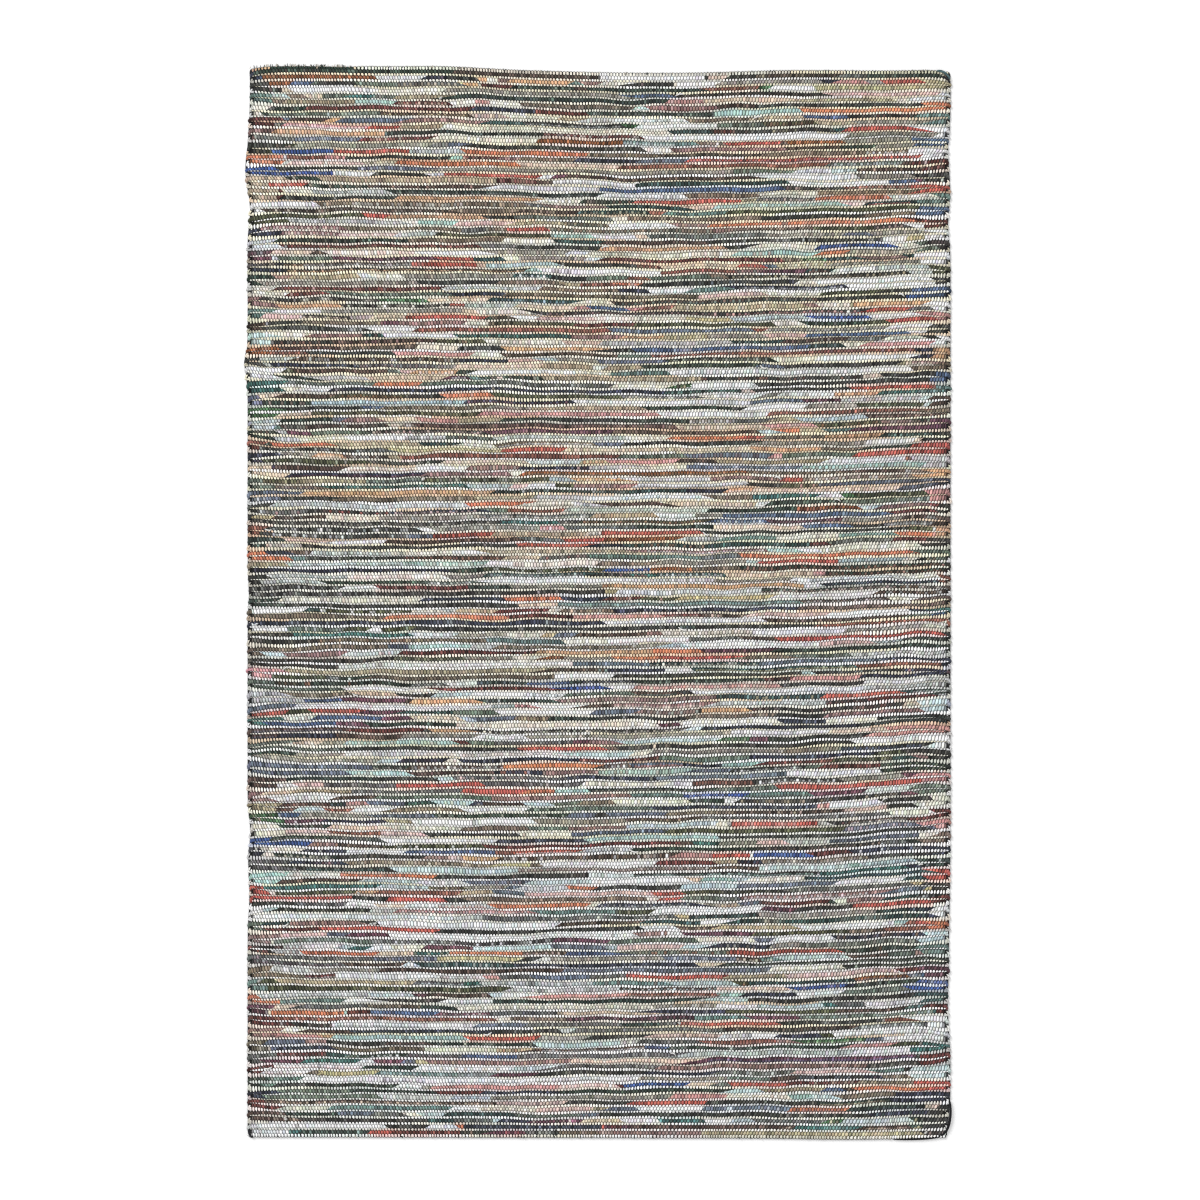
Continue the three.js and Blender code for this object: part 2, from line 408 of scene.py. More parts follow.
rng = np.random.default_rng(20)
at, starts, strip_dyes = 0, [], []
pale_laid, warm_laid = np.zeros((2, RIBS * PICK_BEADS))
while at < RIBS * PICK_BEADS:
    rib, along = divmod(at, PICK_BEADS)
    x = (along / BEADS - 0.5) * WIDTH * (-1 if rib % 2 == 0 else 1)
    pale, warm = leaning(x, LENGTH / 2 - (rib + 0.5) * RIB_PITCH)
    before = np.clip(rib * PICK_BEADS - along - 1 - np.arange(LOOK_BACK), 0, None)
    pale = GATHERING * pale - UNLIKE * pale_laid[before].mean()
    warm = GATHERING * warm - UNLIKE * warm_laid[before].mean()
    odds = dye_areas / dye_beads * np.exp(pale * dye_pale + warm * dye_warm)
    starts.append(at)
    dye = rng.choice(len(odds), p=odds / odds.sum())
    strip_dyes.append(dye)
    at += int(np.clip(rng.gamma(LENGTH_SHAPE, dye_beads[dye] / LENGTH_SHAPE), SHORTEST, LONGEST))
    pale_laid[starts[-1] : at], warm_laid[starts[-1] : at] = dye_pale[dye], dye_warm[dye]
strip_of = np.repeat(np.arange(len(starts)), np.diff(starts + [RIBS * PICK_BEADS]))
rib_middles = LENGTH / 2 - HEM - (np.arange(RIBS) + 0.5) * RIB_PITCH
for name, places in STANDOUTS.items():
    for first, last, pixel_row in places:
        (x0, y), (x1, _) = from_photo(first, pixel_row), from_photo(last, pixel_row)
        rib = int(np.abs(rib_middles + row_rise((x0 + x1) / 2, rib_middles) - y).argmin())
        k0, k1 = (int(np.clip(round((x / WIDTH + 0.5) * BEADS), 0, BEADS)) for x in (x0, x1))
        if rib % 2 == 0:
            k0, k1 = BEADS - k1, BEADS - k0
        strip_of[rib * PICK_BEADS + k0 : rib * PICK_BEADS + k1 + 1] = len(strip_dyes)
        strip_dyes.append(DYE_NAMES.index(name))
for side, turns in ((-1, LEFT_TURNS), (1, RIGHT_TURNS)):
    turned_ribs = np.arange(1 if side < 0 else 2, RIBS, 2)  # the rib that each turn leads into
    furrows = rib_middles[turned_ribs] + RIB_PITCH / 2
    for name, pixel_rows in turns.items():
        for pixel_row in pixel_rows:
            x, y = from_photo(PHOTO_RUG_MIDDLE[0] + side * BY_SELVEDGE, pixel_row)
            turn = turned_ribs[np.abs(furrows + row_rise(x, furrows) - y).argmin()] * PICK_BEADS
            strip_of[turn - rng.integers(*TURN_LAP) : turn + rng.integers(*TURN_LAP)] = len(strip_dyes)
            strip_dyes.append(DYE_NAMES.index(name))
strips = len(strip_dyes)
placed = np.arange(strips) >= len(starts)
strip_colours = dye_colours[strip_dyes] * rng.normal(1.0, LIGHTNESS_SPREAD, (strips, 1))
strip_colours *= rng.normal(1.0, TINT_SPREAD, (strips, 3))
other_dyes = rng.choice(len(dye_areas), strips, p=dye_areas / dye_areas.sum())
partners = OWN_SHARE * strip_colours + (1 - OWN_SHARE) * dye_colours[other_dyes]
strip_kinds = np.where(placed, 0, rng.choice(len(KIND_ODDS), strips, p=KIND_ODDS))
strip_bulks = dye_bulks[strip_dyes] * rng.normal(1.0, BULK_SPREAD, strips)

# Where the strips meet. One thins out while the next thickens beside it. Across this overlap the line between
# them slopes from one side of the pick to the other: 1 is one side, -1 the other, and 2 is beyond the pick.
# A bead shows its first colour on one side of the line, and its second on the other.
BEYOND = 2.0
LONG_WEDGES = 0.08  # share of the joins that slope over more beads
FLECKS = 0.22  # share of a flecked strip's beads that show the second colour
SMEAR = 2.5  # beads over which a strip's colour changes
beads = np.arange(strip_of.size)
joins = np.flatnonzero(np.diff(strip_of)) + 1
room = np.minimum(np.diff(joins, prepend=0), np.diff(joins, append=strip_of.size))
long_wedge = np.where(rng.random(joins.size) < LONG_WEDGES, rng.uniform(1.5, 4.5, joins.size), 0.0)
overlap = np.minimum(rng.gamma(1.2, 0.55, joins.size) + 0.3 + long_wedge, 0.4 * room)
flipped = rng.random(joins.size) < 0.5
after = np.clip(np.searchsorted(joins, beads, "right"), 1, joins.size - 1)
nearest = np.where(beads + 0.5 - joins[after - 1] < joins[after] - 0.5 - beads, after - 1, after)
from_join = (beads + 0.5 - joins[nearest]) / overlap[nearest]
joined = np.abs(from_join) < 1
before_join, after_join = strip_of[joins[nearest] - 1], strip_of[joins[nearest]]
turned = flipped[nearest]
kind = strip_kinds[strip_of]
fleck_line = np.where(rng.random(beads.size) < FLECKS, -0.6, BEYOND)
twist_line = np.where(beads % 2 == 0, 0.5, -0.45)
half_line = 0.05
own_line = np.select(
    [kind == FLECKED, kind == TWISTED, kind == HALVED], [fleck_line, twist_line, half_line], BEYOND
)
own_line += np.where(kind > 0, rng.normal(0, 0.15, beads.size), 0)
sides = np.where(turned, -1.0, 1.0)
colour_line = np.where(joined, -from_join * sides, own_line)
line_slope = np.where(joined, -sides / overlap[nearest], 0.0)
patches = blurred(rng.normal(0, 1, beads.size), SMEAR, 0)[:, None] * 2.9 - 0.6
mixed_in = np.clip(0.16 * patches + rng.gamma(0.5, 0.24, (beads.size, 1)), 0, 0.85)
own = strip_colours[strip_of] * (1 - mixed_in) + partners[strip_of] * mixed_in
upper = np.where(joined[:, None], strip_colours[np.where(turned, after_join, before_join)], own)
lower = partners[strip_of]
lower = np.where(joined[:, None], strip_colours[np.where(turned, before_join, after_join)], lower)
paleness = strip_colours[strip_of].mean(1, keepdims=True)
unevenness = 0.12 + 0.44 * (1 - paleness) ** 5  # dark strips are the least even
bead_tone = np.exp(rng.normal(0, 1, (beads.size, 1)) * unevenness) * rng.normal(1.0, 0.03, (beads.size, 3))
# Painted shade: some beads of darker strips are darkened as if in shadow, and the others lightened a little.
shade_painted_beads = rng.random((beads.size, 1)) < 0.22 * (1 - paleness) ** 1.5
bead_tone *= np.where(shade_painted_beads, 0.68, 1.05)
bead_tone *= 1 + blurred(rng.normal(0, 1, beads.size), SMEAR, 0)[:, None] * 0.22
rag_upper, rag_lower = (in_ribs(np.clip(side * bead_tone, 0.01, 0.97)) for side in (upper, lower))
rag_line = in_ribs(colour_line)
rag_slope = in_ribs(line_slope) * np.where(np.arange(RIBS) % 2 == 0, -1.0, 1.0)[:, None]
thickening = np.where(joined, 0.10 * (1 - np.abs(from_join)), 0)
rag_bulk = in_ribs(strip_bulks[strip_of] + thickening)

# The hemp picks. A thin two-ply yarn, bleached or left in its own cream, goes in after every rag strip.
HEMP_TONES = {  # colour out of 255, share, and how warm
    "bleached": ((250, 247, 234), 3.0, 0.0),
    "cream": ((247, 240, 214), 1.6, 1.4),
    "white": ((252, 252, 250), 2.4, -1.5),
    "straw": ((236, 214, 188), 0.6, 0.9),
    "ash": ((232, 232, 222), 1.2, 0.0),
}
HEMP_RUN = (2.0, 30)  # the gamma curve of how many beads keep one tone
THICK_HEMP = dict(x=0.52, y=-0.05, across=0.075, along=0.085, more=0.45)
DARK_START = (6, 34)  # a dark green strip covers the first pick's beads from the one to the other
DARK_GREEN = (0.035, 0.060, 0.048)
WARM_START = (0.92, 0.72, 0.62)  # the beads before those are a warmer tone
HEMP_TINT = 0.20  # how much of the colour beside it the hemp takes up, from lint and from light
hemp_tones = (np.array([tone for tone, _, _ in HEMP_TONES.values()]) / 255) ** 2.2
hemp_shares = np.array([share for _, share, _ in HEMP_TONES.values()])
hemp_warm = np.array([warm for _, _, warm in HEMP_TONES.values()])
hemp_line = np.zeros((RIBS + 1) * BEADS, int)
at = 0
while at < hemp_line.size:
    _, warm = leaning(0.0, LENGTH / 2 - at / hemp_line.size * LENGTH)
    odds = hemp_shares * np.exp(warm * hemp_warm)
    hemp_line[at:] = rng.choice(len(odds), p=odds / odds.sum())
    at += int(rng.gamma(*HEMP_RUN))
hemp_colours = hemp_tones[hemp_line.reshape(RIBS + 1, BEADS)] * rng.normal(0.91, 0.10, (RIBS + 1, BEADS, 1))
hemp_colours *= 1 + 0.11 * cloud(rng, (RIBS + 1, BEADS), 0.4, 7)[..., None]
covered = np.arange(*DARK_START)[rng.random(BEADS)[slice(*DARK_START)] < 0.98]
hemp_colours[0, covered] = DARK_GREEN
hemp_colours[0, : DARK_START[0]] *= WARM_START


def above_and_below(rows):
    """For each hemp pick, the sum of the rag picks above and below it. The outermost ones count twice."""
    return np.concatenate([rows[:1], rows]) + np.concatenate([rows, rows[-1:]])


beside_hemp = above_and_below(rag_upper)
beside_hemp = (beside_hemp[:, :-1] + beside_hemp[:, 1:]) / 4
tint = beside_hemp / np.maximum(beside_hemp.mean(-1, keepdims=True), 0.02)
hemp_colours *= 1 + HEMP_TINT * (tint - 1)
hemp_colours = np.clip(hemp_colours, 0.03, 0.98)

# The woven cloth. Over each warp thread one kind of pick bulges up as a bead while the other dives, and on
# the next thread they change places. It is modelled in six stretches of one cloth, each closed below by the
# same weave's far face.
STRETCHES = 6
COLUMNS = 2 * BEADS + 1
LINES = 4 * RIBS + 1  # for each rib a hemp crest, a valley, a rag crest and a valley, and a last hemp crest
RAG, HEMP = 0.0057, 0.0045  # widths of a rag pick and a hemp pick, as beaten down
SIDE_IN = 0.0034  # the turning yarns take up the outermost part
CREST, VALLEY = 0.0079, 0.0050  # heights of a rag bead, and between the picks
HEMP_DROP, BEAD_DEPTH = 0.0006, 0.0027  # a hemp bead lies lower, and so does a pick between its beads
UNDER_STEP = 4  # the far face has a point at every fourth column
UNDER_HEIGHTS = (0.0004, 0.0013, 0.0, 0.0013, 0.0004)  # of the far face, from a hemp crest to the next one
LOOSE_PATCH = dict(x=0.505, y=-0.055, across=0.050, along=0.070, more=0.24)  # the warp threads stand apart
WANDER_SPREAD = 15  # lines over which a thick strip's push dies out
WARP_DRIFT = 0.0016  # how far the warp threads lean sideways
PAIRING = 0.16 * RIB_PITCH  # how far two picks lean together where their yarn turns
NOTCH_DEPTH = 0.0022  # between two pairs of turns the outermost beads sink in
NOTCH_SHARES = np.array([1.0, 0.9, 0.4])
WALL_OUT, WALL_TOP = 0.0021, 0.0036  # the side walls reach out beyond the last bead, inside the turns, coloured near-black as painted shade
WALL_GAP = 0.0004


def patch(place, x, y):
    """How strongly a place of the cloth belongs to a patch: a hill across it times a hill along it."""
    return hill((x - place["x"]) / place["across"]) * hill((y - place["y"]) / place["along"])


column = np.arange(COLUMNS)
from_side = np.minimum(column, column[::-1])
is_bead = column % 2 == 0  # of a rag pick, and between these columns lie the hemp's beads
bulk = (rag_bulk[:, column // 2] + rag_bulk[:, (column + 1) // 2]) / 2
rag_width = RAG * blurred(bulk, 3.5, 1) * (1 + 0.17 * cloud(rng, bulk.shape, 0.5, 9))
crowding = above_and_below(rag_width) / (2 * RAG) - 1
uneven = 0.18 * cloud(rng, crowding.shape, 0.5, 7) + 0.14 * cloud(rng, crowding.shape, 0.4, 32)
hemp_width = HEMP * (1 - 0.15 * crowding) * (1 + uneven)
hemp_colours *= 1 + 0.35 * (np.clip(hemp_width[:, 1::2] / HEMP, 0.55, 1.2) - 1)[..., None]
nominal_x = np.linspace(-WIDTH / 2, WIDTH / 2, COLUMNS)
hemp_y = LENGTH / 2 - HEM - np.arange(RIBS + 1) * RIB_PITCH
thick = THICK_HEMP["more"] * patch(THICK_HEMP, nominal_x, hemp_y[:, None])
hemp_width *= 1 + thick
rag_width *= 1 - 0.6 * thick[1:]

# The places of the points. Each line lies half a pick's width below the one before it, and what the thick and
# thin picks add up to dies out over some lines, because the weaver beats them straight again.
steps = np.zeros((4 * RIBS, COLUMNS))
steps[0::4], steps[3::4] = hemp_width[:-1] / 2, hemp_width[1:] / 2
steps[1::4] = steps[2::4] = rag_width / 2
down = np.concatenate([np.zeros((1, COLUMNS)), np.cumsum(steps, axis=0)])
down *= (LENGTH - 2 * HEM) / down[-1]
even = np.concatenate([[0], np.cumsum(np.tile([HEMP, RAG, RAG, HEMP], RIBS) / 2)]) * RIB_PITCH / (RAG + HEMP)
wander = down - even[:, None]
wander = blurred(wander - blurred(wander, WANDER_SPREAD, 0), 2.5, 1)
from_end = np.minimum(np.arange(LINES), np.arange(LINES)[::-1])
wander *= (1 - hill(from_end / 8.0))[:, None]
line_y = LENGTH / 2 - HEM - even
edge_left, edge_right = selvedge(-1, line_y) + SIDE_IN, selvedge(1, line_y) - SIDE_IN
across = np.linspace(0, 1, COLUMNS)
free = 1 - hill(from_side / 10.0)  # the warp threads near the selvedges stay in place
drift = cloud(rng, (LINES // 8 + 1, COLUMNS), 8, 9)[np.arange(LINES) // 8]
cloth_x = edge_left[:, None] * (1 - across) + edge_right[:, None] * across
cloth_x += blurred(WARP_DRIFT * drift * free, 4, 0)
apart = LOOSE_PATCH["more"] * patch(LOOSE_PATCH, cloth_x, line_y[:, None])
cloth_x += apart * (cloth_x - LOOSE_PATCH["x"]) * free
leaning_in = PAIRING * np.sin(np.pi * np.arange(LINES) / 4)[:, None]
pairing = leaning_in * (hill(column / 7.0) - hill(column[::-1] / 7.0))
cloth_y = line_y[:, None] - wander - pairing + row_rise(cloth_x, line_y[:, None])
side_x = np.concatenate([selvedge(-1, line_y), selvedge(1, line_y)])
far_y = LENGTH / 2 + row_rise(cloth_x[0], LENGTH / 2).max()
near_y = -LENGTH / 2 + row_rise(cloth_x[-1], -LENGTH / 2).min()
box_low, box_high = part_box("rug")
shift_x = (box_low.x + box_high.x) / 2 - (side_x.min() + side_x.max()) / 2
shift_y = (box_low.y + box_high.y) / 2 - (far_y + near_y) / 2
cloth_x += shift_x
cloth_y += shift_y

cloth_z = np.full((LINES, COLUMNS), VALLEY)
cloth_z[2::4] = CREST + 0.35 * (rag_width - RAG) - np.where(is_bead, 0.0, BEAD_DEPTH)
cloth_z[0::4] = CREST - HEMP_DROP + 0.25 * (hemp_width - HEMP) - np.where(is_bead, BEAD_DEPTH, 0.0)
cloth_z += rng.normal(0, 0.00012, cloth_z.shape) - 0.0014 * hill(from_side / 2.0)
for line in (5, 6, 7):
    cloth_z[line::8, :3] -= NOTCH_DEPTH * NOTCH_SHARES
    cloth_z[line - 4 :: 8, -3:] -= NOTCH_DEPTH * NOTCH_SHARES[::-1]


def mesh_piece(name, points, faces, finish, maps, colours, flat=()):
    """A piece from arrays: points, faces as rows of point numbers (an array for each count of corners), and
    UV maps and colours given for each corner. Faces numbered in flat stay unsmoothed."""
    mesh = bpy.data.meshes.new(name)
    corners = np.concatenate([f.ravel() for f in faces])
    counts = np.concatenate([np.full(len(f), f.shape[1]) for f in faces])
    mesh.vertices.add(len(points))
    mesh.vertices.foreach_set("co", np.asarray(points, np.float32).ravel())
    mesh.loops.add(len(corners))
    mesh.loops.foreach_set("vertex_index", corners.astype(np.int32))
    mesh.polygons.add(len(counts))
    mesh.polygons.foreach_set("loop_start", np.concatenate([[0], np.cumsum(counts)[:-1]]).astype(np.int32))
    mesh.polygons.foreach_set("loop_total", counts.astype(np.int32))
    mesh.update(calc_edges=True)
    smooth = np.ones(len(counts), bool)
    smooth[list(flat)] = False
    mesh.polygons.foreach_set("use_smooth", smooth)
    for key, values in maps.items():
        mesh.uv_layers.new(name=key).uv.foreach_set("vector", np.asarray(values, np.float32).ravel())
    for key, values in colours.items():
        layer = mesh.color_attributes.new(key, "FLOAT_COLOR", "CORNER")
        layer.data.foreach_set("color", np.asarray(values, np.float32).ravel())
    mesh.materials.append(finish)
    piece = bpy.data.objects.new(name, mesh)
    bpy.context.scene.collection.objects.link(piece)
    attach(piece, "root")
    return piece


YARN = dict(Roughness=0.92, Specular_IOR_Level=0.15, Sheen_Weight=0.1, Sheen_Roughness=0.6)
FLAT_NOISE = {"noise_dimensions": "2D"}
LEAN = 0.30  # beads that a stroke leans over, from one selvedge to the other
STROKE, DOT = 0.84, (0.78, 1.05)  # half a rag bead's width and a hemp bead's width and height, in half beads


def weave_map(finish):
    """A piece's map named weave: the map, how far across it a place is, and how far along."""
    weave = finish.add("ShaderNodeUVMap", {"uv_map": "weave"})
    place = finish.add("ShaderNodeSeparateXYZ", {}, {0: weave})
    return weave, place, place.output("Y")


def fibres(finish, weave, across, along):
    """Fine hairs on yarn: noise on the map, scaled by one number across and another along."""
    scaled = finish.add("ShaderNodeMapping", {}, {0: weave, 3: (across, along, 1.0)})
    return finish.add("ShaderNodeTexNoise", FLAT_NOISE, {0: scaled, "Scale": 1.0, "Detail": 3.0})


def weave_finish():
    """Beads of yarn with dark gaps. The map named weave counts beads across and ribs along. A rag bead is a
    long upright stroke that reaches on between the hemp beads beside it, and a hemp bead is a round dot: 1
    less the square of how far across it a place is, and less the square of how far along. Both lean with the
    twist of their yarn, to one side in the left half and to the other in the right."""
    finish = Finish("rag_and_hemp_weave", **YARN)
    weave, beads, ribs = weave_map(finish)
    first = finish.add("ShaderNodeAttribute", {"attribute_name": "yarn"}, output="Color")
    second = finish.add("ShaderNodeAttribute", {"attribute_name": "mate"}, output="Color")
    rag, colour_line = first.output("Alpha"), second.output("Alpha")
    across = (ribs * 2 + 0.5).math("FRACT") * 2 - 1
    beside = across.math("SIGN") * (across.math("ABSOLUTE") * HEMP / RAG - (1 + HEMP / RAG))
    reach = rag * across + (1 - rag) * beside
    drift = finish.add("ShaderNodeTexNoise", FLAT_NOISE, {0: weave, "Scale": 0.05, "Detail": 2.0})
    lean = (beads * (-LEAN / BEADS) + LEAN / 2) + (drift - 0.5) * 0.35
    wobble = (finish.add("ShaderNodeTexNoise", FLAT_NOISE, {0: weave, "Scale": 1.3}) - 0.5) * 0.44
    along = ((beads + 0.5 - lean * reach + wobble).math("FRACT")) * 2 - 1
    dot_along = ((beads - lean * across * 0.6 + wobble).math("FRACT")) * 2 - 1
    stroke = 1 - (along * along) * (1 / STROKE**2) - (reach * reach) * (0.35 + reach * reach * 0.45)
    dot = 1 - (dot_along * dot_along) * (1 / DOT[0] ** 2) - (across * across) * (1 / DOT[1] ** 2)
    fibre = fibres(finish, weave, 9.0, 6.0)
    turn = ((across - colour_line).step(-0.12, 0.12)) * rag
    strand = finish.blend(turn, first, second)
    lightness = finish.add("ShaderNodeRGBToBW", {}, {0: strand})
    # Painted shade in the gaps between beads: the strand's own colour darkened, with a little grey for the
    # dark warp.
    painted_gap_shade = finish.scaled(strand, 0.15 + lightness * 0.14, 0.007)
    lit_strand = finish.scaled(strand, 0.80 + fibre * 0.40)
    woven = finish.blend(stroke.step(0.05, 0.72 - lightness * 0.22), painted_gap_shade, lit_strand)
    dot_shown = dot.step(0.05, 0.45) * (1 - rag)
    lit_hemp = finish.scaled(second, 0.84 + fibre * 0.32)
    colour = finish.blend(dot_shown, woven, lit_hemp)
    hump = stroke.math("MAXIMUM", 0.0) * rag + dot.math("MAXIMUM", 0.0) * (1 - rag)
    relief = {"Height": hump + fibre * 0.2, "Distance": 0.0012, "Strength": 0.7}
    bump = finish.add("ShaderNodeBump", {}, relief)
    return finish.surface(Base_Color=colour, Normal=bump)


# At each end of the rug three lines of points roll the last hemp pick over.
ROLL_OUT = np.array([[0.0026], [0.0042], [0.0033]])  # how far out they lie
ROLL_TIPS = np.array([[0.6], [1.0], [0.4]])  # how much the beads stand out on each
ROLL_HEIGHTS = np.array([[0.0062], [0.0036], [0.0010]])
ROLL_TURNS = np.array([0.09, 0.17, 0.24])  # how far round the yarn they lie, in ribs
ROLL_PAINTED_SHADES = np.array([[0.06], [0.30], [0.90]])  # painted shade on the outermost cells, where the hem rolls down
UNDER_ROLL = np.array([[0.0008], [0.0017], [0.0026]])  # how far out the far face goes below them
FLATTER, FLATTER_TO = 0.6, 2 * DARK_START[1]  # a strip covers that pick from the far left corner to a column
HOLE_PAINTED_SHADES = np.array([0.03, 0.08, 0.45])  # painted shade on the outer cells beside a hole at the selvedge
# Painted shade on the side walls: near-black copies of the yarn colour beside them.
WALL_PAINTED_SHADE, WALL_GREY = (0.03, 0.03, 0.03, 1.0), (0.008, 0.008, 0.008, 0.0)
HIDDEN = (0.05, 0.05, 0.05, 1.0)


def cell_map(u, v):
    """The map corners of each cell of a grid, from the grid's upright lines u and its level lines v."""
    across = np.stack([u[:-1], u[:-1], u[1:], u[1:]], -1)[None, :]
    along = np.stack([v[:-1], v[1:], v[1:], v[:-1]], -1)[:, None]
    return np.stack(np.broadcast_arrays(across, along), -1)


def cells_between(a, b):
    """The corners of the cells between two lines of points or map places: a, b, the next b and the next a."""
    return np.stack([a[:-1], b[:-1], b[1:], a[1:]], axis=1)


def woven_stretch(first, last):
    """Points, faces, maps and colours of the cloth between two of its lines. The top is the grid of picks and
    warp threads, the far face has the same lines and fewer columns, and walls close the sides and ends."""
    lines = np.arange(first, last + 1)
    x, y, z, shown = cloth_x[lines], cloth_y[lines], cloth_z[lines], lines / 4.0
    far, near = first == 0, last == LINES - 1
    covered = (FLATTER if far else 0.0) / (1 + np.exp((column - FLATTER_TO) / 3.0))
    roll_out = (ROLL_OUT + np.where(is_bead, -0.0007, 0.0008) * ROLL_TIPS) * (1 - covered)
    roll_height = ROLL_HEIGHTS - 0.0006 * is_bead
    if far:
        x, y = np.vstack([x[[0] * 3], x]), np.vstack([y[0] + roll_out[::-1], y])
        z = np.vstack([roll_height[::-1], z])
        shown = np.concatenate([-ROLL_TURNS[::-1], shown])
    if near:
        x, y = np.vstack([x, x[[-1] * 3]]), np.vstack([y, y[-1] - roll_out])
        z = np.vstack([z, roll_height])
        shown = np.concatenate([shown, RIBS + ROLL_TURNS])
    rows = len(x)
    low_columns = column[::UNDER_STEP]
    low_z = np.interp(shown * 4 % 4, np.arange(5), UNDER_HEIGHTS)
    low_y = y[:, low_columns].copy()
    if far:
        low_y[:3] = low_y[3] + UNDER_ROLL[::-1]
    if near:
        low_y[-3:] = low_y[-4] - UNDER_ROLL
    top = np.stack([x, y, z], -1)
    under = np.stack([x[:, low_columns], low_y, np.repeat(low_z[:, None], len(low_columns), 1)], -1)
    from_corner = np.minimum(np.arange(rows) if far else rows, np.arange(rows)[::-1] if near else rows)
    wall_out = WALL_OUT * np.clip(from_corner / 4.0, 0, 1) + WALL_GAP
    left = np.stack([x[:, 0] - wall_out, y[:, 0], np.minimum(z[:, 0], WALL_TOP)], -1)
    right = np.stack([x[:, -1] + wall_out, y[:, -1], np.minimum(z[:, -1], WALL_TOP)], -1)
    points = np.concatenate([p.reshape(-1, 3) for p in (top, under, left, right)])

    # The faces: the two grids, the four walls along the selvedges, and a cap with its corners at each end.
    top_at = np.arange(rows * COLUMNS).reshape(rows, COLUMNS)
    under_at = top_at.size + np.arange(rows * len(low_columns)).reshape(rows, len(low_columns))
    left_at = top_at.size + under_at.size + np.arange(rows)
    right_at = left_at + rows
    grids = [
        np.stack([at[:-1, :-1], at[1:, :-1], at[1:, 1:], at[:-1, 1:]], -1).reshape(-1, 4)
        for at in (top_at, under_at)
    ]
    walls = [
        cells_between(top_at[:, 0], left_at),
        cells_between(left_at, under_at[:, 0]),
        cells_between(right_at, top_at[:, -1]),
        cells_between(under_at[:, -1], right_at),
    ]
    quads = np.concatenate([grids[0], grids[1][:, ::-1], *walls])
    stepped = [top_at[:, k : COLUMNS - UNDER_STEP + k : UNDER_STEP] for k in range(UNDER_STEP + 1)]
    far_cap, near_cap = (
        np.stack([s[end] for s in stepped] + [under_at[end, 1:], under_at[end, :-1]], -1) for end in (0, -1)
    )
    corner_caps = np.array([
        (top_at[0, 0], under_at[0, 0], left_at[0]),
        (top_at[0, -1], right_at[0], under_at[0, -1]),
        (top_at[-1, 0], left_at[-1], under_at[-1, 0]),
        (top_at[-1, -1], under_at[-1, -1], right_at[-1]),
    ])
    faces = [quads, far_cap, near_cap[:, ::-1], corner_caps]
    caps = sum(f.size for f in faces[1:])
    flat = range(len(quads), sum(len(f) for f in faces))

    # The colours. A cell is half of a rag bead and half of a hemp bead. On a rag pick it shows the rag's two
    # colours, and on a hemp pick the hemp between the strokes of the rag beside it.
    middle = np.clip(np.floor((shown[:-1] + shown[1:]) * 2), 0, 4 * RIBS - 1).astype(int)
    quarter, rib = middle % 4, middle // 4
    cell = column[:-1]
    rag_bead, hemp_bead = (cell + 1) // 2, cell // 2
    on_rag = (quarter == 1) | (quarter == 2)
    hemp_row = np.where(quarter == 3, rib + 1, rib)
    up, low, line, slope = (v[rib][:, rag_bead] for v in (rag_upper, rag_lower, rag_line, rag_slope))
    beside = np.where((np.where(quarter == 3, 1.0, -1.0)[:, None] > line)[..., None], low, up)
    hemp = hemp_colours[hemp_row][:, hemp_bead]
    yarn = np.where(on_rag[:, None, None], up, beside)
    mate = np.where(on_rag[:, None, None], low, hemp)
    # Painted shade: the cells beside the selvedge holes and on the rolled hems are darkened.
    painted_shade = np.ones((rows - 1, COLUMNS - 1))
    painted_shade[:, :3][(middle % 8 == 5) | (middle % 8 == 6)] *= HOLE_PAINTED_SHADES
    painted_shade[:, -3:][(middle % 8 == 1) | (middle % 8 == 2)] *= HOLE_PAINTED_SHADES[::-1]
    if far:
        painted_shade[:3] *= ROLL_PAINTED_SHADES
    if near:
        painted_shade[-3:] *= ROLL_PAINTED_SHADES[::-1]
    offset = np.stack([cell / 2 - rag_bead, (cell + 1) / 2 - rag_bead], -1)
    line_at = (line[..., None] + slope[..., None] * offset)[..., [0, 0, 1, 1]]
    rag_flag = np.broadcast_to(on_rag[:, None, None], line_at.shape)
    colours = {}
    for key, colour, alpha in (("yarn", yarn, rag_flag), ("mate", mate, line_at)):
        colour = np.repeat((colour * painted_shade[..., None])[:, :, None], 4, 2)
        values = np.concatenate([colour, alpha[..., None]], -1)
        painted_shade_walls = [values[:, edge] * WALL_PAINTED_SHADE + WALL_GREY for edge in (0, 0, -1, -1)]
        parts = (values, values[:, ::UNDER_STEP, ::-1], *painted_shade_walls, np.tile(HIDDEN, (caps, 1)))
        colours[key] = np.concatenate([part.reshape(-1, 4) for part in parts])

